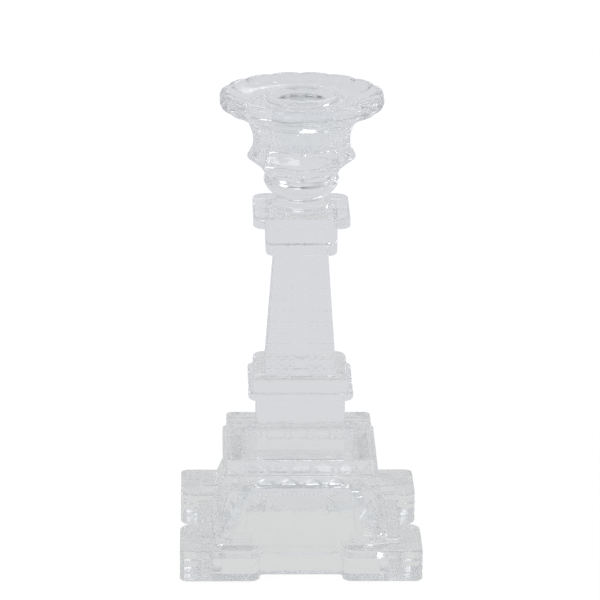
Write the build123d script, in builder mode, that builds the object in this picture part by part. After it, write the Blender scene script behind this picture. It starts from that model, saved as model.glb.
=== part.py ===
from build123d import *
from math import cos, pi, sin, sqrt
import os

# A pressed-glass candlestick in the form of a lattice tower: four stepped feet, four splayed legs
# joined by sloping walls over a hollow underside, two stacked lower platforms, a middle platform,
# a tapering lattice shaft, a cornice and capital, a knop, an eight-sided candle cup with its bore,
# and a wide scalloped drip pan.  The whole object is one moulding; each part below is one named
# section of it, and neighbouring sections meet face to face.
# Origin: on the table, under the middle of the base.  +Z up, front towards -Y.  Millimetres.

# ---- feet -----------------------------------------------------------------------------------------
base_side = 105.0  # across the faces of two feet
foot_side = 34.5  # each foot is square in plan
foot_height = 13.7
foot_corner_radius = 3.0  # outermost upright edge
foot_flank_radius = 6.0  # upright edges beside the recessed walls
course_count = 4  # stone courses marked on each foot
course_depth = 0.4
course_groove = 0.6
step_setback = 9.0  # second step, back from the foot's outer faces
step_side = 22.0
step_height = 3.5
step_radius = 1.5

# ---- hollow underside -----------------------------------------------------------------------------
hollow_straight_height = 7.0
hollow_draft = 0.5  # each side, over the straight height
hollow_shoulder_height = 12.5  # where the sides start to lean in
hollow_corner_cut = 4.0
low_wall_thickness = 5.6  # glass between a low wall's face and the hollow, at the table
panel_thickness = 4.5  # glass behind a sloping panel's foot
leg_thickness = 6.0  # glass between a leg's face and the hollow, under the platform

# ---- legs and the walls between them --------------------------------------------------------------
leg_height = 16.8
leg_setback = 5.8  # leg's outer face, back from the step's outer face
leg_base_width = 13.4
leg_top_width = 10.3
leg_frame = 2.0  # margin round the sunk panel in each outer face
leg_panel_depth = 0.7
wall_setback = 8.4  # low wall, back from the feet's outer faces
wall_height = 11.7
wall_panel_setback = 1.2  # sloping panel, in from the legs' faces
bead_radius = 0.55  # row of beads at the head of each panel
bead_pitch = 1.9
bead_count = 9

# ---- lower platforms ------------------------------------------------------------------------------
platform_side = 67.7
platform_height = 8.0
platform_radius = 2.0
platform_overhang = 2.35  # beyond the legs' outer faces
gallery_setback = 1.65  # back from the platform's faces
gallery_height = 6.7
gallery_radius = 1.5
arch_pitch = 10.15
arch_count = 5  # arches on each side of the gallery
arch_width = 7.4
arch_rise = 5.2
arch_depth = 0.9

# ---- lower neck and middle platform ---------------------------------------------------------------
neck_side = 38.6
neck_height = 23.2
neck_radius = 1.5
band_side = 45.6
band_height = 3.7
band_radius = 3.0
collar_side = 41.2
collar_height = 6.0
collar_radius = 3.5
collar_chamfer = 1.4

# ---- lattice shaft --------------------------------------------------------------------------------
shaft_base_side = 30.8
shaft_top_side = 23.2
shaft_height = 53.8
shaft_radius = 1.0
band_count = 11  # storeys of lattice
rung_groove = 0.7
rung_depth = 0.45

# ---- cornice and capital --------------------------------------------------------------------------
cornice_side = 31.0
cornice_height = 13.8
cornice_radius = 2.6
cornice_chamfer = 1.0
capital_side = 41.8
capital_underside = 33.0
capital_cove_height = 2.2
capital_plate_height = 2.6
capital_radius = 3.6

# ---- knop -----------------------------------------------------------------------------------------
knop_foot_radius = 12.5
knop_foot_height = 2.4
knop_waist_radius = 10.2
knop_waist_height = 4.6  # waist, above the capital
knop_bulge_radius = 16.3
knop_bulge_height = 11.6
knop_top_radius = 15.7
knop_height = 14.7

# ---- candle cup -----------------------------------------------------------------------------------
cup_sides = 8
crown_radius = 23.4  # over the points of the crown
crown_rise = 7.5  # from the knop up to the points
crown_band = 1.1
crown_root_rise = 4.0  # from the points back in to the wall
cup_wall_radius = 20.8
cup_wall_height = 5.3
cup_lip_radius = 23.1
cup_lip_rise = 4.8

# ---- candle bore ----------------------------------------------------------------------------------
bore_diameter = 22.0
bore_depth = 24.4
bore_floor_radius = 2.0
mouth_flare = 2.1  # wider than the bore, all round
mouth_flare_depth = 3.0
mouth_ring_width = 2.0
tube_thickness = 3.4  # of the tube that passes through the pan, at the mouth

# ---- drip pan -------------------------------------------------------------------------------------
pan_radius = 35.6
pan_lobes = 16
pan_lobe_radius = 15.7
pan_rise = 13.6  # from the cup's lip up to the crest of the rim
pan_dish_drop = 2.9  # from the crest down to the floor of the dish
pan_crest_inset = 3.0
pan_underside_inset = 5.7  # foot of the rim, in from the widest line
pan_underside_rise = 5.1  # foot of the rim, above the cup's lip
pan_widest_drop = 4.0  # from the crest down to the widest line of the rim
mouth_drop = 0.7  # from the crest down to the top of the bore's ring

# ---- levels, each from the one below --------------------------------------------------------------
foot_top = foot_height
step_top = foot_top + step_height
leg_top = step_top + leg_height
platform_top = leg_top + platform_height
gallery_top = platform_top + gallery_height
neck_top = gallery_top + neck_height
band_top = neck_top + band_height
collar_top = band_top + collar_height
shaft_top = collar_top + shaft_height
cornice_top = shaft_top + cornice_height
capital_top = cornice_top + capital_cove_height + capital_plate_height
knop_top = capital_top + knop_height
cup_top = knop_top + crown_rise + crown_band + crown_root_rise + cup_wall_height + cup_lip_rise
pan_top = cup_top + pan_rise
mouth_top = pan_top - mouth_drop

# ---- sizes that follow from others ----------------------------------------------------------------
leg_spread_side = base_side - 2 * (step_setback + leg_setback)  # across the legs' faces, on the steps
leg_gather_side = platform_side - 2 * platform_overhang  # the same under the platform
gallery_side = platform_side - 2 * gallery_setback
mouth_diameter = bore_diameter + 2 * mouth_flare
socket_tube_radius = mouth_diameter / 2 + tube_thickness

# ---- places in plan -------------------------------------------------------------------------------
foot_centre = (base_side - foot_side) / 2
foot_inner = base_side / 2 - foot_side
step_centre = base_side / 2 - step_setback - step_side / 2
step_inner = base_side / 2 - step_setback - step_side
leg_base_inner = leg_spread_side / 2 - leg_base_width
leg_top_inner = leg_gather_side / 2 - leg_top_width
wall_face = base_side / 2 - wall_setback
leg_lean = (leg_spread_side - leg_gather_side) / 2 / leg_height
panel_foot = leg_spread_side / 2 + leg_lean * (step_top - wall_height) - wall_panel_setback
panel_head = leg_gather_side / 2 - wall_panel_setback

os.makedirs("parts", exist_ok=True)


def finish(part, name):
    """Name a finished section and write it out."""
    part.label = name
    export_step(part, f"parts/{name}.step")


def faceted(rings, sides, first=0.0):
    """A flat-sided solid about Z: rings gives (height, distance from Z to each flat) from the bottom
    up, sides is even, and first is the direction in degrees that one flat faces."""
    outline = [(across, z) for z, across in rings] + [(-across, z) for z, across in reversed(rings)]
    with BuildPart() as body:
        for turn in range(sides // 2):
            facing = (first + 360 * turn / sides) * pi / 180
            across_flats = Plane(
                origin=(0, 0, 0),
                x_dir=(cos(facing), sin(facing), 0),
                z_dir=(sin(facing), -cos(facing), 0),
            )
            with BuildSketch(across_flats):
                with BuildLine():
                    Polyline(*outline, close=True)
                make_face()
            extrude(amount=base_side, both=True, mode=Mode.INTERSECT if turn else Mode.ADD)
    return body.part


# ---- hollow under the base, taken out of every section round it -------------------------------------
hollow_rings = (
    (0, wall_face - low_wall_thickness),
    (hollow_straight_height, wall_face - low_wall_thickness - hollow_draft),
    (hollow_shoulder_height, panel_foot - panel_thickness),
    (leg_top, leg_gather_side / 2 - leg_thickness),
)
corner_rings = [(z, (2 * across - hollow_corner_cut) / sqrt(2)) for z, across in hollow_rings]
hollow_square = faceted(hollow_rings, 4)
hollow_corners = faceted(corner_rings, 4, first=45)
with BuildPart() as hollow:
    add(hollow_square)
    add(hollow_corners, mode=Mode.INTERSECT)

# ---- feet: two square steps with stone courses, L-shaped in plan round the hollow -------------------
corners = (
    ("front_left", -1, -1),
    ("front_right", 1, -1),
    ("back_left", -1, 1),
    ("back_right", 1, 1),
)

for corner, sx, sy in corners:
    with BuildPart() as foot:
        with BuildSketch() as foot_plan:
            with Locations((sx * foot_centre, sy * foot_centre)):
                Rectangle(foot_side, foot_side)
            by_reach = foot_plan.vertices().sort_by(lambda v: abs(v.X) + abs(v.Y))
            fillet(by_reach[-1], foot_corner_radius)
            by_reach = foot_plan.vertices().sort_by(lambda v: abs(v.X) + abs(v.Y))
            flanks = [v for v in by_reach if abs(abs(v.X) - foot_inner) < 0.01 or abs(abs(v.Y) - foot_inner) < 0.01]
            fillet([v for v in flanks if max(abs(v.X), abs(v.Y)) > foot_inner + 0.01], foot_flank_radius)
        extrude(amount=foot_height)
        for course in range(1, course_count):
            groove_z = foot_height * course / course_count - course_groove / 2
            with BuildSketch(Plane.XY.offset(groove_z)):
                add(foot_plan.sketch)
                offset(foot_plan.sketch, amount=-course_depth, mode=Mode.SUBTRACT)
            extrude(amount=course_groove, mode=Mode.SUBTRACT)
        with BuildSketch(Plane.XY.offset(foot_top)):
            with Locations((sx * step_centre, sy * step_centre)):
                RectangleRounded(step_side, step_side, step_radius)
        extrude(amount=step_height)
        add(hollow.part, mode=Mode.SUBTRACT)
    finish(foot.part, f"foot_{corner}")

# ---- legs: tapering corner posts that lean in, with a sunk panel in each outer face ----------------
for corner, sx, sy in corners:
    with BuildPart() as leg:
        elevations = ((Plane.XZ, sx, -sy, Mode.ADD), (Plane.YZ, sy, sx, Mode.INTERSECT))
        for upright, sign, reach, how in elevations:
            with BuildSketch(upright):
                with BuildLine():
                    Polyline(
                        (sign * leg_base_inner, step_top),
                        (sign * leg_spread_side / 2, step_top),
                        (sign * leg_gather_side / 2, leg_top),
                        (sign * leg_top_inner, leg_top),
                        close=True,
                    )
                make_face()
            extrude(amount=reach * base_side, mode=how)
        add(hollow.part, mode=Mode.SUBTRACT)
        outer_x = leg.faces().sort_by(Axis.X)[-1 if sx > 0 else 0]
        outer_y = leg.faces().sort_by(Axis.Y)[-1 if sy > 0 else 0]
        for outer in (outer_x, outer_y):
            with BuildSketch(Plane(outer)) as sunk:
                add(Plane(outer).to_local_coords(outer))
                offset(amount=-leg_frame, kind=Kind.INTERSECTION, mode=Mode.REPLACE)
            extrude(amount=-leg_panel_depth, mode=Mode.SUBTRACT)
    finish(leg.part, f"leg_{corner}")

# ---- walls between the feet and legs: low wall, ledge, sloping panel and a row of beads ---------------
for side, turn in (("front", 0), ("right", 90), ("back", 180), ("left", 270)):
    with BuildPart() as wall:
        with BuildSketch(Plane.XZ):
            with BuildLine():
                Polyline(
                    (-foot_inner, 0),
                    (foot_inner, 0),
                    (foot_inner, foot_top),
                    (step_inner, foot_top),
                    (step_inner, step_top),
                    (leg_base_inner, step_top),
                    (leg_top_inner, leg_top),
                    (-leg_top_inner, leg_top),
                    (-leg_base_inner, step_top),
                    (-step_inner, step_top),
                    (-step_inner, foot_top),
                    (-foot_inner, foot_top),
                    close=True,
                )
            make_face()
        extrude(amount=base_side / 2)
        with BuildSketch(Plane.YZ):
            with BuildLine():
                Polyline(
                    (0, 0),
                    (-wall_face, 0),
                    (-wall_face, wall_height),
                    (-panel_foot, wall_height),
                    (-panel_head, leg_top),
                    (0, leg_top),
                    close=True,
                )
            make_face()
        extrude(amount=base_side / 2, both=True, mode=Mode.INTERSECT)
        add(hollow.part, mode=Mode.SUBTRACT)
        bead_z = leg_top - 3 * bead_radius
        bead_y = -(panel_head + leg_lean * (leg_top - bead_z))
        with Locations((0, bead_y, bead_z)):
            with GridLocations(bead_pitch, 0, bead_count, 1):
                Sphere(bead_radius)
    finish(wall.part.rotate(Axis.Z, turn), f"wall_{side}")

# ---- lower platform: the slab that roofs the hollow --------------------------------------------------
with BuildPart() as lower_platform:
    with BuildSketch(Plane.XY.offset(leg_top)):
        RectangleRounded(platform_side, platform_side, platform_radius)
    extrude(amount=platform_height)
finish(lower_platform.part, "lower_platform")

# ---- gallery: a slightly smaller slab with a blind arcade on every side --------------------------------
with BuildPart() as gallery:
    with BuildSketch(Plane.XY.offset(platform_top)):
        RectangleRounded(gallery_side, gallery_side, gallery_radius)
    extrude(amount=gallery_height)
    arch_foot = platform_top + (gallery_height - arch_rise) / 2
    for turn in range(0, 360, 90):
        east, north = sin(turn * pi / 180), -cos(turn * pi / 180)
        arch_plane = Plane(
            origin=(gallery_side / 2 * east, gallery_side / 2 * north, arch_foot),
            x_dir=(-north, east, 0),
            z_dir=(east, north, 0),
        )
        with BuildSketch(arch_plane):
            with GridLocations(arch_pitch, 0, arch_count, 1):
                with Locations((0, (arch_rise - arch_width / 2) / 2)):
                    Rectangle(arch_width, arch_rise - arch_width / 2)
                with Locations((0, arch_rise - arch_width / 2)):
                    Circle(arch_width / 2)
        extrude(amount=-arch_depth, mode=Mode.SUBTRACT)
finish(gallery.part, "gallery")

# ---- lower neck ----------------------------------------------------------------------------------------
with BuildPart() as lower_neck:
    with BuildSketch(Plane.XY.offset(gallery_top)):
        RectangleRounded(neck_side, neck_side, neck_radius)
    extrude(amount=neck_height)
finish(lower_neck.part, "lower_neck")

# ---- middle platform: a wide band with a smaller collar on it --------------------------------------------
with BuildPart() as middle_platform:
    with BuildSketch(Plane.XY.offset(neck_top)):
        RectangleRounded(band_side, band_side, band_radius)
    extrude(amount=band_height)
finish(middle_platform.part, "middle_platform")

with BuildPart() as middle_collar:
    with BuildSketch(Plane.XY.offset(band_top)):
        RectangleRounded(collar_side, collar_side, collar_radius)
    extrude(amount=collar_height)
    chamfer(middle_collar.faces().sort_by(Axis.Z)[-1].edges(), length=collar_chamfer)
finish(middle_collar.part, "middle_collar")

# ---- lattice shaft: a tapering square tower marked off into storeys ------------------------------------
shaft_blank = faceted(((collar_top, shaft_base_side / 2), (shaft_top, shaft_top_side / 2)), 4)
with BuildPart() as shaft:
    add(shaft_blank)
    uprights = [e for e in shaft.edges() if e.length > shaft_height]
    fillet(uprights, shaft_radius)
    for storey in range(1, band_count):
        share = storey / band_count
        here = shaft_base_side + (shaft_top_side - shaft_base_side) * share
        with BuildSketch(Plane.XY.offset(collar_top + shaft_height * share - rung_groove / 2)):
            Rectangle(here + 4, here + 4)
            RectangleRounded(here - 2 * rung_depth, here - 2 * rung_depth, shaft_radius, mode=Mode.SUBTRACT)
        extrude(amount=rung_groove, mode=Mode.SUBTRACT)
finish(shaft.part, "shaft")

# ---- cornice under the capital ---------------------------------------------------------------------------
with BuildPart() as cornice:
    with BuildSketch(Plane.XY.offset(shaft_top)):
        RectangleRounded(cornice_side, cornice_side, cornice_radius)
    extrude(amount=cornice_height)
    chamfer(cornice.faces().sort_by(Axis.Z)[0].edges(), length=cornice_chamfer)
finish(cornice.part, "cornice")

# ---- capital: a thin square plate on a spreading cove --------------------------------------------------------
with BuildPart() as capital:
    cove_top = cornice_top + capital_cove_height
    with BuildSketch(Plane.XY.offset(cornice_top)):
        RectangleRounded(capital_underside, capital_underside, cornice_radius)
    with BuildSketch(Plane.XY.offset(cove_top)):
        RectangleRounded(capital_side, capital_side, capital_radius)
    loft(ruled=True)
    with BuildSketch(Plane.XY.offset(cove_top)):
        RectangleRounded(capital_side, capital_side, capital_radius)
    extrude(amount=capital_plate_height)
finish(capital.part, "capital")

# ---- knop: a round foot, a waist and a full bulge -------------------------------------------------------------
with BuildPart() as knop:
    with BuildSketch(Plane.XZ):
        with BuildLine():
            Line((0, capital_top), (knop_foot_radius, capital_top))
            Line((knop_foot_radius, capital_top), (knop_foot_radius, capital_top + knop_foot_height))
            Line(
                (knop_foot_radius, capital_top + knop_foot_height),
                (knop_waist_radius, capital_top + knop_waist_height),
            )
            Spline(
                (knop_waist_radius, capital_top + knop_waist_height),
                (knop_bulge_radius, capital_top + knop_bulge_height),
                (knop_top_radius, knop_top),
                tangents=((1, 0.35), (-0.15, 1)),
            )
            Line((knop_top_radius, knop_top), (0, knop_top))
            Line((0, knop_top), (0, capital_top))
        make_face()
    revolve(axis=Axis.Z)
finish(knop.part, "knop")

# ---- candle cup: an eight-sided crown and wall, a round tube up through the pan, and the bore -----------------
points_z = knop_top + crown_rise
wall_z = points_z + crown_band + crown_root_rise
cup_rings = (
    (knop_top, knop_top_radius),
    (knop_top + crown_rise * 0.3, knop_top_radius + (crown_radius - knop_top_radius) * 0.18),
    (points_z, crown_radius),
    (points_z + crown_band, crown_radius),
    (wall_z, cup_wall_radius),
    (wall_z + cup_wall_height, cup_wall_radius),
    (cup_top, cup_lip_radius),
)
to_flat = cos(pi / cup_sides)
cup_blank = faceted([(z, over_points * to_flat) for z, over_points in cup_rings], cup_sides, first=180 / cup_sides)
with BuildPart() as candle_cup:
    add(cup_blank)
    with BuildSketch(Plane.XZ):
        with BuildLine():
            Polyline(
                (0, cup_top),
                (socket_tube_radius, cup_top),
                (socket_tube_radius, mouth_top - mouth_drop - 1),
                (mouth_diameter / 2 + mouth_ring_width, mouth_top),
                (0, mouth_top),
                close=True,
            )
        make_face()
    revolve(axis=Axis.Z)
    with BuildSketch(Plane.XZ):
        with BuildLine():
            bore_radius = bore_diameter / 2
            bore_floor = mouth_top - bore_depth
            Line((0, bore_floor), (bore_radius - bore_floor_radius, bore_floor))
            Line((bore_radius - bore_floor_radius, bore_floor), (bore_radius, bore_floor + bore_floor_radius))
            Line((bore_radius, bore_floor + bore_floor_radius), (bore_radius, mouth_top - mouth_flare_depth))
            Line((bore_radius, mouth_top - mouth_flare_depth), (mouth_diameter / 2, mouth_top))
            Line((mouth_diameter / 2, mouth_top), (0, mouth_top))
            Line((0, mouth_top), (0, bore_floor))
        make_face()
    revolve(axis=Axis.Z, mode=Mode.SUBTRACT)
finish(candle_cup.part, "candle_cup")

# ---- drip pan: a dished ring round the cup's tube, with a thick scalloped rim ------------------------------------
with BuildPart() as drip_pan:
    crest_radius = pan_radius - pan_crest_inset
    dish_z = pan_top - pan_dish_drop
    widest_z = pan_top - pan_widest_drop
    tube_top = mouth_top - mouth_drop - 1
    underside_z = cup_top + pan_underside_rise
    with BuildSketch(Plane.XZ):
        with BuildLine():
            Line((socket_tube_radius, tube_top), (socket_tube_radius, cup_top))
            Line((socket_tube_radius, cup_top), (cup_lip_radius, cup_top))
            Line((cup_lip_radius, cup_top), (pan_radius - pan_underside_inset, underside_z))
            Spline(
                (pan_radius - pan_underside_inset, underside_z),
                (pan_radius, widest_z),
                (crest_radius, pan_top),
                tangents=((0.8, 0.6), (-1, 0)),
            )
            Spline(
                (crest_radius, pan_top),
                ((crest_radius + socket_tube_radius) / 2, dish_z),
                (socket_tube_radius, tube_top),
                tangents=((-1, 0), (-1, 0.1)),
            )
        make_face()
    revolve(axis=Axis.Z)
    lobe_ring = pan_radius - pan_lobe_radius
    half_lobe = pi / pan_lobes
    notch_radius = lobe_ring * cos(half_lobe) + sqrt(pan_lobe_radius**2 - (lobe_ring * sin(half_lobe)) ** 2)
    with BuildSketch(Plane.XY.offset(cup_top)):
        Circle(notch_radius)
        with PolarLocations(lobe_ring, pan_lobes, start_angle=180 / pan_lobes):
            Circle(pan_lobe_radius)
    extrude(amount=pan_rise, mode=Mode.INTERSECT)
finish(drip_pan.part, "drip_pan")
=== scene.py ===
import math

import bpy
import numpy as np
from mathutils import Matrix, Vector


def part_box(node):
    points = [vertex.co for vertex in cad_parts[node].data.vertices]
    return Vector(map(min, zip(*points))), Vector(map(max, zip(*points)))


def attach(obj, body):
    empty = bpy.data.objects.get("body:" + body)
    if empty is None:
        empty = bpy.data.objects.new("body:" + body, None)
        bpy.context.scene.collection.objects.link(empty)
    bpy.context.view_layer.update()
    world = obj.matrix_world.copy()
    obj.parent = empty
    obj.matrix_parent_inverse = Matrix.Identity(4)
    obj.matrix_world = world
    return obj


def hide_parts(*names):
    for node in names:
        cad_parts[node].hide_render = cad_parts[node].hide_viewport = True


# A candlestick pressed from clear glass in the form of a lattice tower.  The object is one moulding.
# It is made here as the same sections that its CAD nodes name.  Each section is a closed skin, and
# the faces where two sections meet inside the glass let light pass straight through, so that the
# whole stick bends light as one body.  Lengths in the shape functions are millimetres.

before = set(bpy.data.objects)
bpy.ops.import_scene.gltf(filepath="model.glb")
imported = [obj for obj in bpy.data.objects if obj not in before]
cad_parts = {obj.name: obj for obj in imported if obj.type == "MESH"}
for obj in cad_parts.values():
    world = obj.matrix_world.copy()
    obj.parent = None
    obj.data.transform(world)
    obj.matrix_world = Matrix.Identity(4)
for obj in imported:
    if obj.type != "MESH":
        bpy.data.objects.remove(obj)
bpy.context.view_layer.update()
MM = 0.001

# Columns round the base, from the middle of a side to its diagonal, feature by feature.
WALL_COLUMNS = 56
HOLLOW_CORNER_COLUMNS = 8
NOOK_COLUMNS = 6
FLANK_COLUMNS = 6
SHOULDER_COLUMNS = 10
FACE_COLUMNS = 24
CORNER_COLUMNS = 10
BASE_HALF = (
    WALL_COLUMNS + NOOK_COLUMNS + FLANK_COLUMNS + SHOULDER_COLUMNS + FACE_COLUMNS + CORNER_COLUMNS
)
# The lower platform and the gallery have as many columns as the base, so that they join it.
PLATFORM_CORNER = 18
PLATFORM_FLAT = BASE_HALF - PLATFORM_CORNER
# Columns round the upper tiers, from the middle of a side to its diagonal.
TOWER_FLAT = 60
TOWER_CORNER = 12
TOWER_HALF = TOWER_FLAT + TOWER_CORNER


# ---- sizes read from the frame ------------------------------------------------------------------
def reach(node):
    """Half the wider side of a node that stands on the axis, in mm."""
    low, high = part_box(node)
    return max(high.x - low.x, high.y - low.y) / 2 / MM


def heights(node):
    """Lowest and highest level of a node, in mm."""
    low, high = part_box(node)
    return low.z / MM, high.z / MM


foot_low, foot_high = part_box("foot_front_right")
leg_low, leg_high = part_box("leg_front_right")
wall_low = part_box("wall_front")[0]
foot_face = foot_high.x / MM
foot_inner = foot_low.x / MM
step_top = foot_high.z / MM
leg_spread = leg_high.x / MM
leg_inner_top = leg_low.x / MM
wall_face = -wall_low.y / MM
leg_top = leg_high.z / MM


# ---- profiles -------------------------------------------------------------------------------------
def softened(corners, radii, steps=7):
    """A polyline with eased corners: a corner V with its neighbours cut at A and B, each up to the
    radius away but not past half way, becomes the curve (1-t)^2 A + 2t(1-t) V + t^2 B."""
    corners = np.asarray(corners, float)
    radii = np.asarray(radii, float)[1:-1, None]
    middle, before, after = corners[1:-1], corners[:-2], corners[2:]
    to_before, to_after = before - middle, after - middle
    length_before = np.linalg.norm(to_before[:, :2], axis=1, keepdims=True)
    length_after = np.linalg.norm(to_after[:, :2], axis=1, keepdims=True)
    start = middle + to_before * np.minimum(radii / length_before, 0.48)
    end = middle + to_after * np.minimum(radii / length_after, 0.48)
    t = np.linspace(0, 1, steps)[None, :, None]
    curve = (1 - t) ** 2 * start[:, None] + 2 * t * (1 - t) * middle[:, None] + t**2 * end[:, None]
    return np.vstack([corners[:1], curve.reshape(-1, corners.shape[1]), corners[-1:]])


def refined(path, spacing):
    """The same path with points added so that none are further apart than spacing, measured along
    its first two columns."""
    run = np.concatenate([[0], np.cumsum(np.linalg.norm(np.diff(path[:, :2], axis=0), axis=1))])
    keep = np.concatenate([[True], np.diff(run) > 1e-5])
    path, run = path[keep], run[keep]
    extra = np.linspace(0, run[-1], int(run[-1] / spacing) + 2)[1:-1]
    near = np.abs(extra[:, None] - run[None, :]).min(axis=1) < spacing * 0.3
    at = np.sort(np.concatenate([run, extra[~near]]))
    return np.stack([np.interp(at, run, column) for column in path.T], axis=1)


def smoothstep(low, high, value):
    """0 below low, 1 above high, and 3s^2 - 2s^3 between them, for s the share of the way."""
    share = np.clip((value - low) / (high - low), 0, 1)
    return share * share * (3 - 2 * share)


def bell(value, centre, width):
    """exp(-((value - centre) / width)^2)."""
    return np.exp(-(((value - centre) / width) ** 2))


# ---- outlines ----------------------------------------------------------------------------------------
def all_round(across, out, up):
    """Closes half a side into a ring.  across, out and up hold, for every level, the points from the
    middle of the front to its diagonal.  The half is mirrored in x, and the side so made is turned
    three times by 90 degrees about Z.  Gives points of shape (levels, 8 x half, 3), anticlockwise
    from the front left diagonal."""
    x = np.concatenate([-across[:, :0:-1], across[:, :-1]], axis=1)
    d = np.concatenate([out[:, :0:-1], out[:, :-1]], axis=1)
    z = np.concatenate([up[:, :0:-1], up[:, :-1]], axis=1)
    turned = [(x, -d), (d, x), (-x, d), (-d, -x)]
    return np.concatenate([np.stack([a, b, z], axis=2) for a, b in turned], axis=1)


def arc(count, quarter):
    """Angles of an arc from its first point, which is left out, to its last."""
    return (np.arange(count) + 1) / count * quarter


def square_rings(path, flat, corner, relief=None):
    """Rounded squares, one for each row (half side a, level z, corner radius c) of path.  Half a side
    is x from 0 to a - c on the face, then (a - c + c sin f, a - c + c cos f) for f up to 45 degrees.
    relief(x, z, a) moves the face outwards, fading out round the corner."""
    a, z, c = (path[:, i : i + 1] for i in range(3))
    x_flat = (a - c) * np.linspace(0, 1, flat + 1)[None, :]
    turn = arc(corner, math.pi / 4)[None, :]
    x = np.concatenate([x_flat, a - c + c * np.sin(turn)], axis=1)
    out = np.concatenate([a + 0 * x_flat, a - c + c * np.cos(turn)], axis=1)
    up = z + 0 * x
    if relief is not None:
        facing = np.concatenate([np.zeros((1, flat + 1)), turn], axis=1)
        push = relief(x, up, a + 0 * x)
        x, out = x + push * np.sin(facing), out + push * np.cos(facing)
    return all_round(x, out, up)


def turned_rings(path, radius_at=None):
    """Rings about the axis, one for each row (radius r, level z) of path.  radius_at(r, z, angle),
    with the angle from the front middle up to 45 degrees, gives the radius there and the level."""
    angle = np.linspace(0, math.pi / 4, TOWER_HALF + 1)[None, :]
    r, z = path[:, :1] + 0 * angle, path[:, 1:2] + 0 * angle
    if radius_at is not None:
        r, z = radius_at(r, z, angle + 0 * r)
    return all_round(r * np.sin(angle), r * np.cos(angle), z)


# ---- the base: feet, legs and the walls between them, outside and inside ---------------------------------
STEP_FACE = foot_face - 9.0
STEP_INNER = STEP_FACE - 22.0
FOOT_TOP = 14.1
LEDGE = 0.1  # rise of each ledge across its width
LEG_INNER = leg_spread - 13.4
WALL_TOP = 11.7
leg_gather = reach("lower_platform") - 2.35

face_profile = softened(
    [
        (0, foot_face - 0.5),
        (0.6, foot_face),
        (FOOT_TOP - LEDGE, foot_face),
        (FOOT_TOP, STEP_FACE),
        (step_top - LEDGE, STEP_FACE - 0.1),
        (step_top, leg_spread),
        (20.6, leg_spread - 1.6),
        (25.5, leg_spread - 3.6),
        (leg_top, leg_gather),
    ],
    [0, 0.5, 0.9, 0.3, 0.8, 0.3, 1.6, 2.5, 0],
)
inner_profile = softened(
    [
        (0, foot_inner),
        (FOOT_TOP - LEDGE, foot_inner),
        (FOOT_TOP, STEP_INNER),
        (step_top - LEDGE, STEP_INNER),
        (step_top, LEG_INNER),
        (leg_top, leg_inner_top),
    ],
    [0, 0.9, 0.3, 0.7, 0.3, 0],
)
wall_profile = softened(
    [
        (0, wall_face - 0.3),
        (0.4, wall_face),
        (WALL_TOP - LEDGE, wall_face),
        (WALL_TOP, 38.5),
        (leg_top, leg_gather - 1.2),
    ],
    [0, 0.3, 1.0, 0.5, 0],
)
hollow_profile = softened(
    [(0, 38.5), (7.0, 38.0), (12.5, 34.0), (leg_top, 25.5)],
    [0, 3.0, 3.0, 0],
)
nook_radius = np.array(
    [(0, 2.0), (FOOT_TOP - LEDGE, 2.0), (FOOT_TOP, 1.0), (step_top, 0.5), (leg_top, 0.5)]
)
shoulder_radius = np.array(
    [
        (0, 6.0),
        (FOOT_TOP - LEDGE, 6.0),
        (FOOT_TOP, 1.5),
        (step_top - LEDGE, 1.5),
        (step_top, 0.6),
        (leg_top, 0.6),
    ]
)
corner_radius = np.array(
    [
        (0, 3.0),
        (FOOT_TOP - LEDGE, 3.0),
        (FOOT_TOP, 1.6),
        (step_top - LEDGE, 1.6),
        (step_top, 1.0),
        (leg_top, 1.0),
    ]
)
# Relief on the base: grooves between stone courses, the legs' sunk panels, and the walls' beads.
COURSES = FOOT_TOP * np.array([0.25, 0.5, 0.75])
GROOVE_DEPTH, GROOVE_WIDTH = 0.22, 0.7
PANEL_DEPTH, RIB_HEIGHT, RIB_WIDTH = 1.0, 0.8, 1.2
BEAD_LEVEL, BEAD_PITCH, BEAD_ROW_END = leg_top - 1.7, 1.9, 8.5
BEAD_HEIGHT, ARCH_HEIGHT = 0.5, 0.22
WALL_DISH, LOW_WALL_DISH = 0.9, 0.25


def base_levels():
    """Every level at which the base's profiles bend, with evenly spaced ones between, closer at the
    stone courses and the beads."""
    bends = [p[:, 0] for p in (face_profile, inner_profile, wall_profile, hollow_profile)]
    even = np.linspace(0, leg_top, 76)
    closer = (*COURSES, BEAD_LEVEL)
    fine = np.concatenate([np.linspace(c - GROOVE_WIDTH, c + GROOVE_WIDTH, 9) for c in closer])
    levels = np.unique(np.round(np.concatenate([*bends, even, fine]), 3))
    return levels[np.concatenate([[True], np.diff(levels) > 0.008])]


def leg_relief(x, z, face, inner):
    """How far a leg's face stands out: a panel sunk inside a frame about 2 mm wide, with a round
    head, and a rib in it, a bell about the line that climbs from the inner edge to the outer."""
    share = (x - inner) / (face - inner)
    width = face - inner
    from_edge = np.minimum(x - inner, face - x)
    head = leg_top - 2.2 - 2.6 * (2 * share - 1) ** 2
    inside = smoothstep(1.5, 2.3, from_edge) * smoothstep(0, 0.8, head - z)
    inside = inside * smoothstep(step_top + 1.4, step_top + 2.2, z)
    climb = (z - step_top - 2) / (leg_top - step_top - 5)
    rib = bell((share - climb) * width, 0, RIB_WIDTH)
    return inside * (-PANEL_DEPTH + RIB_HEIGHT * rib)


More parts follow.
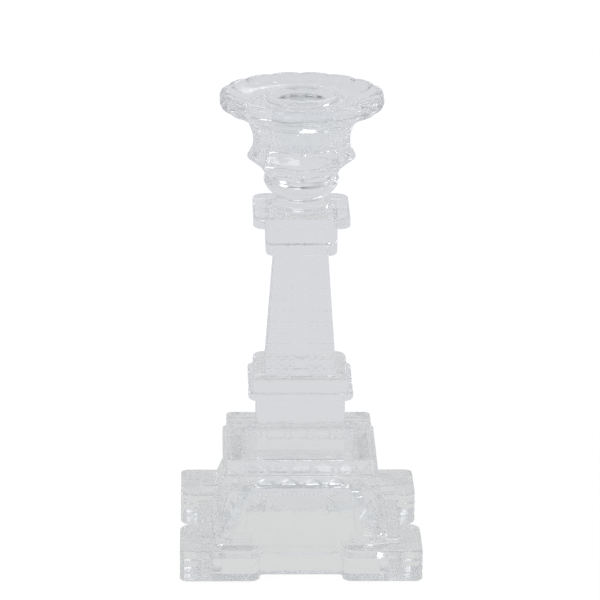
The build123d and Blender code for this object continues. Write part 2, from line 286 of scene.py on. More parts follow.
def base_outside(levels):
    """The outer skin of the base.  Half a side runs along the wall at depth w from x = 0 to the
    flank at x = i, round a nook of radius n, out along the flank, round a shoulder of radius s to
    the face at depth f, and along it and round the corner of radius c to the diagonal.  The wall is
    dished above and below its ledge, with a row of beads and a faint arch near its top.  The foot
    has a groove, a bell about its level, between every two stone courses."""
    f, i, w = (np.interp(levels, *p.T)[:, None] for p in (face_profile, inner_profile, wall_profile))
    n, s, c = (np.interp(levels, *p.T)[:, None] for p in (nook_radius, shoulder_radius, corner_radius))
    n = np.minimum(n, (f - w) * 0.4)
    s = np.minimum(s, (f - w) * 0.55)
    z = levels[:, None]

    on_wall = np.linspace(0, 1, WALL_COLUMNS + 1)[None, :]
    x_wall = (i - n) * on_wall
    bowl = smoothstep(WALL_TOP + 0.8, WALL_TOP + 6, z) * smoothstep(0.2, 3.2, leg_top - z)
    dished = WALL_DISH * bowl * (1 - smoothstep(0.35, 1.0, x_wall / (i - n)))
    low_bowl = smoothstep(0.8, 3.0, z) * smoothstep(0.6, 2.6, WALL_TOP - z)
    dished = dished + LOW_WALL_DISH * low_bowl * (1 - smoothstep(0.5, 1.0, x_wall / (i - n)))
    from_bead = (x_wall + BEAD_PITCH / 2) % BEAD_PITCH
    beads = bell(z, BEAD_LEVEL, 0.55) * bell(from_bead, BEAD_PITCH / 2, 0.5)
    beads = beads * (x_wall < BEAD_ROW_END)
    arch = bell(np.hypot(x_wall / 1.9, (z - leg_top + 7.2) * 1.35), 7.0, 0.5) * (z < leg_top - 2.6)
    out_wall = w - dished + BEAD_HEIGHT * beads + ARCH_HEIGHT * arch * (z > leg_top - 8)

    nook = arc(NOOK_COLUMNS, math.pi / 2)[None, :]
    x_nook, out_nook = i - n + n * np.sin(nook), w + n - n * np.cos(nook)
    along = arc(FLANK_COLUMNS, 1.0)[None, :]
    out_flank = w + n + (f - s - w - n) * along
    x_flank = i + 0 * out_flank
    shoulder = arc(SHOULDER_COLUMNS, math.pi / 2)[None, :]
    x_shoulder, out_shoulder = i + s - s * np.cos(shoulder), f - s + s * np.sin(shoulder)
    x_face = i + s + (f - c - i - s) * arc(FACE_COLUMNS, 1.0)[None, :]
    corner = arc(CORNER_COLUMNS, math.pi / 4)[None, :]
    x_corner, out_corner = f - c + c * np.sin(corner), f - c + c * np.cos(corner)

    on_leg = smoothstep(step_top + 0.2, step_top + 0.6, z)
    out_face = f + on_leg * leg_relief(x_face, z, f, i)
    grooves = GROOVE_DEPTH * bell(z[:, :, None], COURSES[None, None, :], GROOVE_WIDTH).sum(axis=2)
    grooves = grooves + 0.15 * bell(z, FOOT_TOP + 1.7, 0.5)
    out_face = out_face - grooves
    x_flank = x_flank + grooves * along
    x_shoulder = x_shoulder + grooves * np.cos(shoulder)
    out_shoulder = out_shoulder - grooves * np.sin(shoulder)
    x_corner = x_corner - grooves * np.sin(corner)
    out_corner = out_corner - grooves * np.cos(corner)

    x = np.concatenate([x_wall, x_nook, x_flank, x_shoulder, x_face, x_corner], axis=1)
    out = np.concatenate([out_wall, out_nook, out_flank, out_shoulder, out_face, out_corner], axis=1)
    return all_round(x, out, z + 0 * x)


def base_inside(levels):
    """The hollow's skin, column for column beside the outer one: x as on the wall up to the wall's
    end, then on along the side at depth h to h - 4, and across the corner's cut to the diagonal."""
    h = np.interp(levels, *hollow_profile.T)[:, None]
    i = np.interp(levels, *inner_profile.T)[:, None]
    n = np.interp(levels, *nook_radius.T)[:, None]
    f, w = (np.interp(levels, *p.T)[:, None] for p in (face_profile, wall_profile))
    n = np.minimum(n, (f - w) * 0.4)
    x_wall = (i - n) * np.linspace(0, 1, WALL_COLUMNS + 1)[None, :]
    cut = 4.0
    rest = BASE_HALF - WALL_COLUMNS - HOLLOW_CORNER_COLUMNS
    x_side = i - n + (h - cut - i + n) * arc(rest, 1.0)[None, :]
    across = arc(HOLLOW_CORNER_COLUMNS, 1.0)[None, :]
    x_cut = h - cut + cut / 2 * across
    out_cut = h - cut / 2 * across
    x = np.concatenate([x_wall, x_side, x_cut], axis=1)
    out = np.concatenate([h + 0 * x_wall, h + 0 * x_side, out_cut], axis=1)
    return all_round(x, out, levels[:, None] + 0 * x)


# ---- putting skins together into pieces ---------------------------------------------------------------------
GLASS, JOINT = 0, 1


def sheet_faces(rows, columns, closed):
    """Four-sided faces of a grid of points, as indices.  They face outwards where the rows go up and
    the columns go anticlockwise about the axis; closed joins the last column to the first."""
    r = np.arange(rows - 1)[:, None]
    c = np.arange(columns if closed else columns - 1)[None, :]
    d = (c + 1) % columns
    low, high = r * columns, (r + 1) * columns
    return np.stack([low + c, low + d, high + d, high + c], axis=2).reshape(-1, 4)


class Skin:
    """Collects the faces of one piece, each with its finish."""

    def __init__(self):
        self.points, self.fours, self.threes, self.count = [], [], [], 0

    def add(self, points, faces, finish):
        """Adds faces of three or four corners over these points."""
        self.points.append(points.reshape(-1, 3))
        rows = np.concatenate([faces + self.count, np.full((len(faces), 1), finish)], axis=1)
        (self.fours if faces.shape[1] == 4 else self.threes).append(rows)
        self.count += len(self.points[-1])

    def grid(self, rings, finish=GLASS, closed=True):
        """Adds a grid of points, rows along the profile and columns round the axis."""
        self.add(rings, sheet_faces(rings.shape[0], rings.shape[1], closed), finish)

    def disc(self, ring, upwards, finish=JOINT):
        """Closes a ring with triangles to the middle of it, on the axis."""
        n = len(ring)
        c = np.arange(n)
        centre = np.array([[0.0, 0.0, ring[:, 2].mean()]])
        fan = np.stack([np.full(n, n), c, (c + 1) % n], axis=1)
        self.add(np.vstack([ring, centre]), fan if upwards else fan[:, ::-1], finish)

    def piece(self, name, node):
        """Welds points that fall together, makes the mesh in metres, and hands it to the frame in
        place of the node."""
        points = np.round(np.vstack(self.points), 5)
        where, index = np.unique(points, axis=0, return_inverse=True)
        index = index.reshape(-1)
        faces, finishes = [], []
        for group in (self.fours, self.threes):
            if group:
                rows = np.vstack(group)
                corners = index[rows[:, :-1]]
                repeated = (corners == np.roll(corners, 1, axis=1)).sum(axis=1)
                whole = repeated == 0
                faces += corners[whole].tolist()
                finishes.append(rows[whole, -1])
                pinched = repeated == 1
                if corners.shape[1] == 4 and pinched.any():
                    four = corners[pinched]
                    first = (four != np.roll(four, 1, axis=1)).nonzero()
                    faces += four[first].reshape(-1, 3).tolist()
                    finishes.append(rows[pinched, -1])
        mesh = bpy.data.meshes.new(name)
        mesh.from_pydata((where * MM).tolist(), [], faces)
        mesh.materials.append(clear_glass)
        mesh.materials.append(glass_joint)
        mesh.polygons.foreach_set("material_index", np.concatenate(finishes).astype(np.int32))
        mesh.polygons.foreach_set("use_smooth", np.ones(len(faces), bool))
        mesh.set_sharp_from_angle(angle=math.radians(38))
        mesh.update()
        mesh.validate()
        obj = bpy.data.objects.new(name, mesh)
        bpy.context.scene.collection.objects.link(obj)
        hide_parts(node)
        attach(obj, "root")


# ---- materials ------------------------------------------------------------------------------------------------
def new_group(name, inputs, outputs):
    """An empty shader node group with these sockets, and its two ends."""
    group = bpy.data.node_groups.new(name, "ShaderNodeTree")
    for label, kind, value in inputs:
        socket = group.interface.new_socket(name=label, in_out="INPUT", socket_type=kind)
        socket.default_value = value
    for label, kind in outputs:
        group.interface.new_socket(name=label, in_out="OUTPUT", socket_type=kind)
    return group, group.nodes.new("NodeGroupInput"), group.nodes.new("NodeGroupOutput")


def pressed_surface():
    """Effect of the mould on glass: slow ripples and fine ones as a height, a tint that wanders a
    little, and a roughness that is least on fire-polished faces and greatest where the piece rubs
    on a table."""
    group, ends_in, ends_out = new_group(
        "pressed_surface",
        [
            ("Ripple Scale", "NodeSocketFloat", 120.0),
            ("Fine Scale", "NodeSocketFloat", 700.0),
            ("Fine Share", "NodeSocketFloat", 0.15),
            ("Tint", "NodeSocketColor", (0.9, 0.92, 0.92, 1)),
            ("Deep Tint", "NodeSocketColor", (0.86, 0.88, 0.89, 1)),
            ("Polish", "NodeSocketFloat", 0.05),
            ("Haze", "NodeSocketFloat", 0.07),
            ("Wear Height", "NodeSocketFloat", 0.0012),
        ],
        [("Color", "NodeSocketColor"), ("Roughness", "NodeSocketFloat"), ("Height", "NodeSocketFloat")],
    )
    n, link = group.nodes, group.links.new
    where = n.new("ShaderNodeTexCoord")
    slow = n.new("ShaderNodeTexNoise")
    slow.inputs["Detail"].default_value = 2.0
    fine = n.new("ShaderNodeTexNoise")
    fine.inputs["Detail"].default_value = 3.0
    for noise, label in ((slow, "Ripple Scale"), (fine, "Fine Scale")):
        link(where.outputs["Object"], noise.inputs["Vector"])
        link(ends_in.outputs[label], noise.inputs["Scale"])
    share = n.new("ShaderNodeMath")
    share.operation = "MULTIPLY_ADD"
    link(fine.outputs["Fac"], share.inputs[0])
    link(ends_in.outputs["Fine Share"], share.inputs[1])
    link(slow.outputs["Fac"], share.inputs[2])
    link(share.outputs[0], ends_out.inputs["Height"])

    wander = n.new("ShaderNodeMapRange")
    wander.inputs["From Min"].default_value = 0.35
    wander.inputs["From Max"].default_value = 0.65
    link(slow.outputs["Fac"], wander.inputs["Value"])
    tint = n.new("ShaderNodeMix")
    tint.data_type = "RGBA"
    link(wander.outputs["Result"], tint.inputs["Factor"])
    link(ends_in.outputs["Tint"], tint.inputs[6])
    link(ends_in.outputs["Deep Tint"], tint.inputs[7])
    link(tint.outputs[2], ends_out.inputs["Color"])

    split = n.new("ShaderNodeSeparateXYZ")
    link(where.outputs["Object"], split.inputs[0])
    rub = n.new("ShaderNodeMapRange")
    rub.inputs["From Min"].default_value = 0.0
    rub.inputs["To Min"].default_value = 1.0
    rub.inputs["To Max"].default_value = 0.0
    link(split.outputs["Z"], rub.inputs["Value"])
    link(ends_in.outputs["Wear Height"], rub.inputs["From Max"])
    patchy = n.new("ShaderNodeMath")
    patchy.operation = "MULTIPLY"
    link(rub.outputs["Result"], patchy.inputs[0])
    link(fine.outputs["Fac"], patchy.inputs[1])
    rough = n.new("ShaderNodeMath")
    rough.operation = "MULTIPLY_ADD"
    rough.inputs[1].default_value = 0.35
    link(patchy.outputs[0], rough.inputs[0])
    haze = n.new("ShaderNodeMath")
    haze.operation = "MULTIPLY_ADD"
    link(slow.outputs["Fac"], haze.inputs[0])
    link(ends_in.outputs["Haze"], haze.inputs[1])
    link(ends_in.outputs["Polish"], haze.inputs[2])
    link(haze.outputs[0], rough.inputs[2])
    link(rough.outputs[0], ends_out.inputs["Roughness"])
    return group


def make_glass(surface):
    """Clear pressed glass."""
    material = bpy.data.materials.new("clear_glass")
    material.use_nodes = True
    nodes, link = material.node_tree.nodes, material.node_tree.links.new
    shader = nodes["Principled BSDF"]
    shader.inputs["Metallic"].default_value = 0.0
    shader.inputs["IOR"].default_value = 1.5
    shader.inputs["Transmission Weight"].default_value = 1.0
    effect = nodes.new("ShaderNodeGroup")
    effect.node_tree = surface
    effect.inputs["Tint"].default_value = (0.978, 0.984, 0.987, 1)
    effect.inputs["Deep Tint"].default_value = (0.96, 0.968, 0.974, 1)
    bump = nodes.new("ShaderNodeBump")
    bump.inputs["Strength"].default_value = 0.4
    bump.inputs["Distance"].default_value = 0.0006
    link(effect.outputs["Height"], bump.inputs["Height"])
    link(bump.outputs["Normal"], shader.inputs["Normal"])
    link(effect.outputs["Color"], shader.inputs["Base Color"])
    link(effect.outputs["Roughness"], shader.inputs["Roughness"])
    return material


def make_joint():
    """Where two sections of the one moulding meet inside the glass there is no surface, so nothing
    shows and light goes straight on."""
    material = bpy.data.materials.new("glass_joint")
    material.use_nodes = True
    shader = material.node_tree.nodes["Principled BSDF"]
    shader.inputs["Base Color"].default_value = (1, 1, 1, 1)
    shader.inputs["Alpha"].default_value = 0.0
    return material


clear_glass = make_glass(pressed_surface())
glass_joint = make_joint()

# ---- feet, legs and walls -----------------------------------------------------------------------------------------
levels = base_levels()
outside, inside = base_outside(levels), base_inside(levels)
on_step = int(np.searchsorted(levels, step_top - 1e-6))
side_columns = 2 * BASE_HALF
# The column at which the front wall starts, counted from the front left diagonal.
wall_start = BASE_HALF - WALL_COLUMNS
sides = ("front", "right", "back", "left")
corners = ("front_right", "back_right", "back_left", "front_left")


def base_section(name, node, first, last, bottom, top):
    """A sector of the base between two columns and two levels: up the outer skin, across the top,
    down the hollow's skin and back across the bottom, with a cut face at each end."""
    columns = np.arange(first, last + 1) % (4 * side_columns)
    outer, inner = outside[bottom : top + 1][:, columns], inside[bottom : top + 1][:, columns]
    skin = Skin()
    skin.grid(outer, closed=False)
    skin.grid(np.stack([outer[-1], inner[-1]]), JOINT, closed=False)
    skin.grid(inner[::-1], closed=False)
    skin.grid(np.stack([inner[0], outer[0]]), GLASS if bottom == 0 else JOINT, closed=False)
    skin.grid(np.stack([outer[:, 0], inner[:, 0]]), JOINT, closed=False)
    skin.grid(np.stack([inner[:, -1], outer[:, -1]]), JOINT, closed=False)
    skin.piece(name, node)


top_level = len(levels) - 1
for k in range(4):
    start = wall_start + k * side_columns
    turn = start + 2 * WALL_COLUMNS
    end = start + side_columns
    base_section(f"{sides[k]}_wall_glass", f"wall_{sides[k]}", start, turn, 0, top_level)
    base_section(f"{corners[k]}_foot_glass", f"foot_{corners[k]}", turn, end, 0, on_step)
    base_section(f"{corners[k]}_leg_glass", f"leg_{corners[k]}", turn, end, on_step, top_level)


# ---- lower platform and gallery ---------------------------------------------------------------------------------------
ARCH_PITCH, ARCH_RADIUS, ARCH_DEPTH = 10.15, 3.9, 0.9
SCALLOP_DEPTH, SCALLOP_ROW_END = 0.35, 25.5
platform_low, platform_high = heights("lower_platform")
platform_side = reach("lower_platform")
gallery_low, gallery_high = heights("gallery")
gallery_side = reach("gallery")
neck_low, neck_high = heights("lower_neck")
neck_side = reach("lower_neck")


def platform_relief(x, z, a):
    """A hanging row of shallow scallops 1 mm under the platform's top edge, one for each arch above.
    Each hangs 2.4 + 1.5 cos(2 pi x / pitch)."""
    hang = 2.4 + 1.5 * np.cos(2 * math.pi * x / ARCH_PITCH)
    under_edge = platform_high - 1.0 - z
    sunk = smoothstep(0.0, 0.8, under_edge) * smoothstep(0.0, 0.8, hang - under_edge)
    return -SCALLOP_DEPTH * sunk * (x < SCALLOP_ROW_END)


def gallery_relief(x, z, a):
    """Five blind arches on a side, each sunk inside a round-headed outline that springs 2.4 above
    the gallery's foot, and stands on a sill."""
    across = np.abs((x + ARCH_PITCH / 2) % ARCH_PITCH - ARCH_PITCH / 2)
    spring = gallery_low + 2.4
    outside_by = np.where(z > spring, np.hypot(across, z - spring), across) - ARCH_RADIUS
    over_sill = smoothstep(-0.1, 0.5, z - gallery_low - 0.6)
    return -ARCH_DEPTH * smoothstep(-0.3, 0.35, -outside_by) * over_sill * (x < 2.5 * ARCH_PITCH)


skin = Skin()
under = inside[-1]
roof = [under]
# The hollow's roof, in steps inwards: the share drawn in, and the rise.
for share, rise in ((0.035, 0.45), (0.08, 0.8), (0.16, 1.0), (0.5, 1.05)):
    roof.append(under * np.array([1 - share, 1 - share, 1]) + np.array([0, 0, rise]))
roof = np.stack(roof)
skin.disc(roof[-1], upwards=False, finish=GLASS)
skin.grid(roof[::-1])
skin.grid(np.stack([under, outside[-1]]), JOINT)
platform_path = refined(
    softened(
        [
            (platform_side, platform_low, 2.6),
            (platform_side, platform_high, 2.6),
            (gallery_side, platform_high, 2.2),
        ],
        [0, 1.1, 0],
    ),
    0.34,
)
foot_path = softened(
    [
        (leg_gather + 0.3, platform_low, 1.0),
        (platform_side, platform_low, 2.6),
        (platform_side, platform_low + 1.6, 2.6),
    ],
    [0, 1.0, 0],
)
path = np.vstack([foot_path, platform_path[platform_path[:, 1] > platform_low + 1.65]])
rings = square_rings(path, PLATFORM_FLAT, PLATFORM_CORNER, platform_relief)
skin.grid(np.concatenate([outside[-1:], rings]))
skin.disc(rings[-1], upwards=True)
skin.piece("lower_platform_glass", "lower_platform")

skin = Skin()
path = refined(
    softened(
        [
            (gallery_side, gallery_low, 2.2),
            (gallery_side, gallery_high, 2.2),
            (neck_side, gallery_high, 1.8),
        ],
        [0, 0.9, 0],
    ),
    0.33,
)
rings = square_rings(path, PLATFORM_FLAT, PLATFORM_CORNER, gallery_relief)
skin.disc(rings[0], upwards=False)
skin.grid(rings)
skin.disc(rings[-1], upwards=True)
skin.piece("gallery_glass", "gallery")


# ---- the tower's tiers ----------------------------------------------------------------------------------------------------
STOREYS, RUNGS, POSTS = 11, 3, 3
STOREY_GROOVE, LATTICE_HEIGHT = 0.28, 0.14
shaft_low, shaft_high = heights("shaft")


def shaft_relief(x, z, a):
    """Lattice on the shaft.  Storeys are parted by grooves; fine rungs and posts cross between a
    plain strip up the middle and the corner posts, as a product of two waves, with a knob at each
    crossing."""
    climb = (z - shaft_low) / (shaft_high - shaft_low) * STOREYS
    storey = STOREY_GROOVE * bell((climb + 0.5) % 1.0, 0.5, 0.12)
    post = (x - 2.6) / (a - 3.6) * POSTS
    beside = smoothstep(0.0, 0.25, post) * (1 - smoothstep(2.85, 3.0, post))
    rungs = 0.5 - 0.5 * np.cos(2 * math.pi * (climb % 1.0) * RUNGS)
    posts = 0.5 - 0.5 * np.cos(2 * math.pi * post)
    ends = smoothstep(0.0, 0.8, z - shaft_low) * smoothstep(0.0, 0.8, shaft_high - z)
    return ends * (LATTICE_HEIGHT * beside * rungs * posts - storey * smoothstep(2.2, 3.4, x))


def tier(name, node, corners_in, radii, spacing, relief=None):
    """One square tier: a joint below, the skin up its sides, and a joint above."""
    path = refined(softened(corners_in, radii), spacing)
    rings = square_rings(path, TOWER_FLAT, TOWER_CORNER, relief)
    skin = Skin()
    skin.disc(rings[0], upwards=False)
    skin.grid(rings)
    skin.disc(rings[-1], upwards=True)
    skin.piece(name, node)


band_low, band_high = heights("middle_platform")
band_side = reach("middle_platform")
collar_low, collar_high = heights("middle_collar")
collar_side = reach("middle_collar")
shaft_side = reach("shaft")
shaft_top_side = 11.6
cornice_low, cornice_high = heights("cornice")
cornice_side = reach("cornice")
capital_low, capital_high = heights("capital")
capital_side = reach("capital")
knop_low, knop_high = heights("knop")
knop_foot, knop_shoulder = 12.5, 15.7
cup_high = heights("candle_cup")[1]
pan_low, pan_high = heights("drip_pan")
pan_reach = 35.6

tier(
    "lower_neck_glass",
    "lower_neck",
    [(neck_side, neck_low, 1.8), (neck_side, neck_high, 1.8)],
    [0, 0],
    0.8,
)
tier(
    "middle_platform_glass",
    "middle_platform",
    [
        (neck_side, band_low, 1.8),
        (band_side, band_low, 4.4),
        (band_side, band_high, 4.4),
        (collar_side, band_high, 4.6),
    ],
    [0, 1.6, 1.0, 0],
    0.4,
)
tier(
    "middle_collar_glass",
    "middle_collar",
    [
        (collar_side, collar_low, 4.6),
        (collar_side, collar_high, 4.6),
        (shaft_side, collar_high, 1.0),
    ],
    [0, 2.4, 0],
    0.4,
)
tier(
    "shaft_glass",
    "shaft",
    [(shaft_side, shaft_low, 1.0), (shaft_top_side, shaft_high, 1.0)],
    [0, 0],
    0.36,
    shaft_relief,
)
tier(
    "cornice_glass",
    "cornice",
    [
        (shaft_top_side, cornice_low, 1.0),
        (cornice_side, cornice_low, 3.6),
        (cornice_side, cornice_high, 3.6),
    ],
    [0, 2.4, 0],
    0.5,
)
tier(
    "capital_glass",
    "capital",
    [
        (cornice_side, capital_low, 3.6),
        (capital_side, capital_low, 5.0),
        (capital_side, capital_high, 5.0),
        (knop_foot, capital_high, 11.0),
    ],
    [0, 1.0, 1.3, 0],
    0.45,
)


# ---- knop ------------------------------------------------------------------------------------------------------------------
def add_turned(skin, corners_in, radii, spacing, radius_at=None):
    """Adds a turned skin to a piece and gives its rings."""
    rings = turned_rings(refined(softened(corners_in, radii), spacing), radius_at)
    skin.grid(rings)
    return rings


skin = Skin()
rings = add_turned(
    skin,
    [
        (knop_foot, knop_low),
        (knop_foot, knop_low + 2.4),
        (10.2, knop_low + 4.2),
        (10.6, knop_low + 5.2),
        (14.6, knop_low + 8.0),
        (16.6, knop_low + 12.0),
        (knop_shoulder, knop_high),
    ],
    [0, 0.7, 1.2, 1.5, 2.2, 2.2, 0],
    0.4,
)
skin.disc(rings[0], upwards=False)
skin.disc(rings[-1], upwards=True)
skin.piece("knop_glass", "knop")

# ---- candle cup --------------------------------------------------------------------------------------------------------------
CUP_TOP, CUP_RIM, CUP_CROWN, CUP_WAIST = pan_low, 23.1, 23.4, 21.0
WALL_LOW, WALL_HIGH = knop_high + 12.6, knop_high + 17.9
BORE, BORE_DEPTH, BORE_END = 11.0, 24.4, 9.2
MOUTH, FLARE = 13.1, 3.0
TUBE = 16.5
DISH = pan_high - 2.9
LOZENGE_DEPTH, PETAL_DEPTH = 0.9, 0.5


def eight_sided(r, z, angle):
    """Eases a circle of radius r into an eight-sided outline with points to the front: the least,
    softly, of the distances to the flats beside the angle.  Each flat of the wall has a lozenge
    cut into it, deepest in its middle, and the crown below it a smaller one."""
    flat = r * math.cos(math.pi / 8)
    facings = np.array([-1, 1, 3]) * math.pi / 8
    reaches = flat[..., None] / np.cos(angle[..., None] - facings)
    keen = 2.2
    soft = -np.log(np.exp(-keen * (reaches - flat[..., None])).sum(axis=-1)) / keen + flat
    share = smoothstep(knop_high, knop_high + 2.0, z)
    radius = r * (1 - share) + np.minimum(soft + 0.3, r + 0.05) * share
    middle = (WALL_LOW + WALL_HIGH) / 2 - 0.6
    off_side = np.abs(angle - math.pi / 8) / (math.pi / 8)
    lozenge = np.clip(1 - off_side - np.abs(z - middle) / 6.2, 0, 1)
    crown_middle = knop_high + 5.0
    petal = np.clip(1 - off_side * 1.2 - np.abs(z - crown_middle) / 3.6, 0, 1)
    return radius - LOZENGE_DEPTH * lozenge - PETAL_DEPTH * petal, z


skin = Skin()
outer = add_turned(
    skin,
    [
        (knop_shoulder, knop_high),
        (17.2, knop_high + 2.4),
        (CUP_CROWN, knop_high + 6.9),
        (CUP_CROWN, knop_high + 8.7),
        (CUP_WAIST, WALL_LOW),
        (CUP_WAIST, WALL_HIGH),
        (CUP_RIM, CUP_TOP),
    ],
    [0, 1.4, 0.9, 0.9, 1.6, 2.2, 0],
    0.42,
    eight_sided,
)
bore_path = [
    (TUBE, DISH),
    (TUBE - 0.4, cup_high - 0.2),
    (15.0, cup_high),
    (MOUTH, cup_high),
    (BORE, cup_high - FLARE),
    (BORE, cup_high - BORE_DEPTH + 2.0),
    (BORE_END, cup_high - BORE_DEPTH + 0.2),
    (0.01, cup_high - BORE_DEPTH),
]
inner = turned_rings(refined(softened(bore_path, [0, 0.5, 0.7, 0.4, 0.4, 1.2, 1.2, 0]), 0.8))
skin.disc(outer[0], upwards=False)
skin.grid(np.stack([outer[-1], inner[0]]), JOINT)
skin.grid(inner[:-1])
skin.disc(inner[-2], upwards=True, finish=GLASS)
skin.piece("candle_cup_glass", "candle_cup")

# ---- drip pan -------------------------------------------------------------------------------------------------------------------
LOBES = 16
LOBE_RADIUS = 15.0
CREST_DIP = 0.35


def scalloped(r, z, angle):
    """Lobes round the rim: the rim's outline is q cos d + sqrt(l^2 - (q sin d)^2), with d the
    angle from the middle of the lobe, l its radius and q the ring of the lobes' centres.  Nearer the
    middle the lobes fade, and the crest dips a little between them."""
    ring = pan_reach - LOBE_RADIUS
    step = 2 * math.pi / LOBES
    off = angle % step - step / 2
    outline = ring * np.cos(off) + np.sqrt(LOBE_RADIUS**2 - (ring * np.sin(off)) ** 2)
    notch = outline - pan_reach
    between = ring * math.sin(step / 2)
    narrowest = ring * math.cos(step / 2) + math.sqrt(LOBE_RADIUS**2 - between**2)
    deepest = pan_reach - narrowest
    share = smoothstep(24.0, 33.5, r)
    upper = smoothstep(pan_high - 6.0, pan_high - 0.5, z)
    lift = -CREST_DIP * (notch / -deepest) ** 2 * smoothstep(26.0, 31.0, r) * upper
    return r + notch * share, z + lift


skin = Skin()
rim_path = [
    (CUP_RIM, pan_low),
    (CUP_RIM + 0.2, pan_low + 1.3),
    (29.8, pan_low + 5.1),
    (34.6, pan_low + 6.9),
    (36.0, pan_low + 10.2),
    (35.2, pan_high - 0.2),
    (33.0, pan_high + 0.3),
    (29.2, pan_high - 1.2),
    (24.5, DISH + 0.1),
    (19.0, DISH - 0.2),
    (TUBE, DISH),
]
rings = turned_rings(
    refined(softened(rim_path, [0, 0.8, 2.0, 1.8, 1.6, 1.6, 1.4, 1.8, 2.5, 1.0, 0]), 0.36),
    scalloped,
)
rings[0] = outer[-1]
rings[-1] = inner[0]
skin.grid(rings)
skin.grid(np.stack([inner[0], outer[-1]]), JOINT)
skin.piece("drip_pan_glass", "drip_pan")


# ---- the studio ---------------------------------------------------------------------------------------------------------------------
def make_floor():
    """A plain pale sheet under the object, lit through from below so that it stays white, and
    dimmer as the glass sees it."""
    material = bpy.data.materials.new("pale_paper")
    material.use_nodes = True
    nodes, link = material.node_tree.nodes, material.node_tree.links.new
    shader = nodes["Principled BSDF"]
    shader.inputs["Base Color"].default_value = (0.9, 0.9, 0.9, 1)
    shader.inputs["Roughness"].default_value = 1.0
    shader.inputs["Specular IOR Level"].default_value = 0.0
    glow = nodes.new("ShaderNodeEmission")
    where = nodes.new("ShaderNodeTexCoord")
    distance = nodes.new("ShaderNodeVectorMath")
    distance.operation = "LENGTH"
    link(where.outputs["Object"], distance.inputs[0])
    spread = nodes.new("ShaderNodeMapRange")
    spread.inputs["From Min"].default_value = 0.07
    spread.inputs["From Max"].default_value = 0.25
    link(distance.outputs["Value"], spread.inputs["Value"])
    cast = nodes.new("ShaderNodeMix")
    cast.data_type = "RGBA"
    link(spread.outputs["Result"], cast.inputs["Factor"])
    cast.inputs[6].default_value = (1, 1, 0.995, 1)
    cast.inputs[7].default_value = (1, 1.01, 1.05, 1)
    link(cast.outputs[2], glow.inputs["Color"])
    seen = nodes.new("ShaderNodeLightPath")
    power = nodes.new("ShaderNodeMapRange")
    power.inputs["To Min"].default_value = 0.70
    power.inputs["To Max"].default_value = 1.07
    link(seen.outputs["Is Camera Ray"], power.inputs["Value"])
    link(power.outputs["Result"], glow.inputs["Strength"])
    part = nodes.new("ShaderNodeMapRange")
    part.inputs["To Min"].default_value = 1.0
    part.inputs["To Max"].default_value = 0.88
    link(seen.outputs["Is Camera Ray"], part.inputs["Value"])
    mix = nodes.new("ShaderNodeMixShader")
    link(part.outputs[0], mix.inputs[0])
    link(shader.outputs[0], mix.inputs[1])
    link(glow.outputs[0], mix.inputs[2])
    link(mix.outputs[0], nodes["Material Output"].inputs["Surface"])
    mesh = bpy.data.meshes.new("floor")
    half, level = 12.0, -0.0004
    square = [(-half, -half), (half, -half), (half, half), (-half, half)]
    mesh.from_pydata([(x, y, level) for x, y in square], [], [(0, 1, 2, 3)])
    mesh.materials.append(material)
    floor = bpy.data.objects.new("floor", mesh)
    bpy.context.scene.collection.objects.link(floor)


def make_light(name, where, aim, size, watts):
    """A round soft box at a place, facing another."""
    light = bpy.data.lights.new(name, "AREA")
    light.shape = "DISK"
    light.size = size
    light.energy = watts
    obj = bpy.data.objects.new(name, light)
    bpy.context.scene.collection.objects.link(obj)
    way = np.array(aim, float) - np.array(where, float)
    obj.location = where
    obj.rotation_mode = "QUATERNION"
    obj.rotation_quaternion = Vector(way).to_track_quat("-Z", "Y")


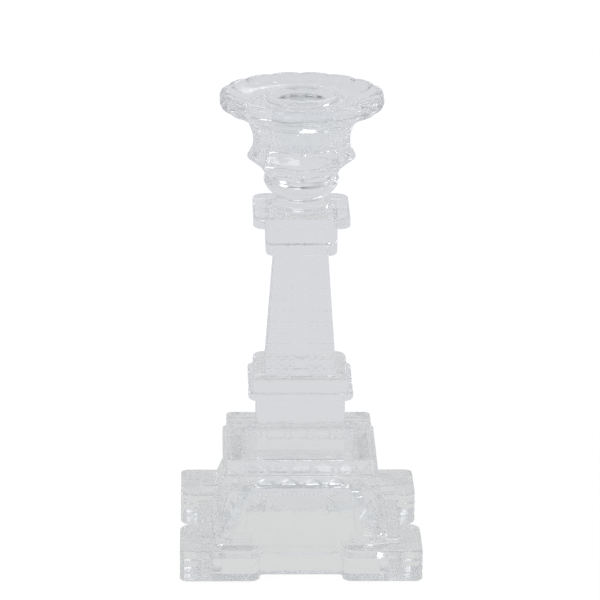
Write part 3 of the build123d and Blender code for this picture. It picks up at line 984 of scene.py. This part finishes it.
def make_studio():
    """An even pale surround, dimmer overhead as the glass sees it, with three soft boxes."""
    world = bpy.data.worlds.new("studio")
    bpy.context.scene.world = world
    world.use_nodes = True
    nodes, link = world.node_tree.nodes, world.node_tree.links.new
    surround = nodes["Background"]
    where = nodes.new("ShaderNodeTexCoord")
    split = nodes.new("ShaderNodeSeparateXYZ")
    link(where.outputs["Generated"], split.inputs[0])
    ramp = nodes.new("ShaderNodeValToRGB")
    ramp.color_ramp.elements[0].position = 0.2
    ramp.color_ramp.elements[0].color = (0.71, 0.72, 0.735, 1)
    ramp.color_ramp.elements[1].position = 0.85
    ramp.color_ramp.elements[1].color = (0.50, 0.515, 0.54, 1)
    for place, grey in ((0.95, 0.5), (0.985, 0.1)):
        ramp.color_ramp.elements.new(place).color = (grey, grey, grey, 1)
    link(split.outputs["Z"], ramp.inputs["Fac"])
    seen = nodes.new("ShaderNodeLightPath")
    blend = nodes.new("ShaderNodeMix")
    blend.data_type = "RGBA"
    link(seen.outputs["Is Camera Ray"], blend.inputs["Factor"])
    link(ramp.outputs["Color"], blend.inputs[6])
    blend.inputs[7].default_value = (1, 1, 1, 1)
    link(blend.outputs[2], surround.inputs["Color"])
    surround.inputs["Strength"].default_value = 1.0
    make_light("soft_box_left", (-0.9, -0.7, 1.1), (0, 0, 0.1), 0.5, 1.9)
    make_light("soft_box_behind", (0.15, 1.2, 0.8), (0, 0, 0.2), 0.3, 0.2)
    make_light("soft_box_right", (0.9, 0.5, 1.3), (0, 0, 0.1), 0.5, 1.9)


def make_camera():
    """The camera stands 1.8 m off, 17.7 degrees up and a little left of the front, level but for a
    slight lean, and aims above the middle of the stick."""
    lens_height, away = math.radians(17.7), 1.8
    round_by, lean = math.radians(-1.35), math.radians(0.4)
    target = np.array([0.0, 0.0, 0.1015])
    back = np.array(
        [
            math.sin(round_by) * math.cos(lens_height),
            -math.cos(round_by) * math.cos(lens_height),
            math.sin(lens_height),
        ]
    )
    place = target + away * back
    right = np.cross(-back, (0, 0, 1))
    right /= np.linalg.norm(right)
    upward = np.cross(right, -back)
    aim = target + 0.0092 * upward - 0.0002 * right
    ahead = aim - place
    ahead /= np.linalg.norm(ahead)
    upward = np.cross(right, ahead)
    across = np.cross(ahead, upward)
    upward, across = (
        upward * math.cos(lean) - across * math.sin(lean),
        across * math.cos(lean) + upward * math.sin(lean),
    )
    camera = bpy.data.cameras.new("camera")
    camera.sensor_width = 36.0
    camera.lens = 247.1
    camera.clip_end = 100
    obj = bpy.data.objects.new("camera", camera)
    obj.matrix_world = Matrix(
        [
            (across[0], upward[0], -ahead[0], place[0]),
            (across[1], upward[1], -ahead[1], place[1]),
            (across[2], upward[2], -ahead[2], place[2]),
            (0, 0, 0, 1),
        ]
    )
    bpy.context.scene.collection.objects.link(obj)
    bpy.context.scene.camera = obj


make_floor()
make_studio()
make_camera()
scene = bpy.context.scene
scene.view_settings.view_transform = "Standard"
# Light is turned back many times inside the glass before it gets out.
scene.cycles.max_bounces = 64
scene.cycles.glossy_bounces = 16
scene.cycles.transmission_bounces = 64
scene.cycles.transparent_max_bounces = 128
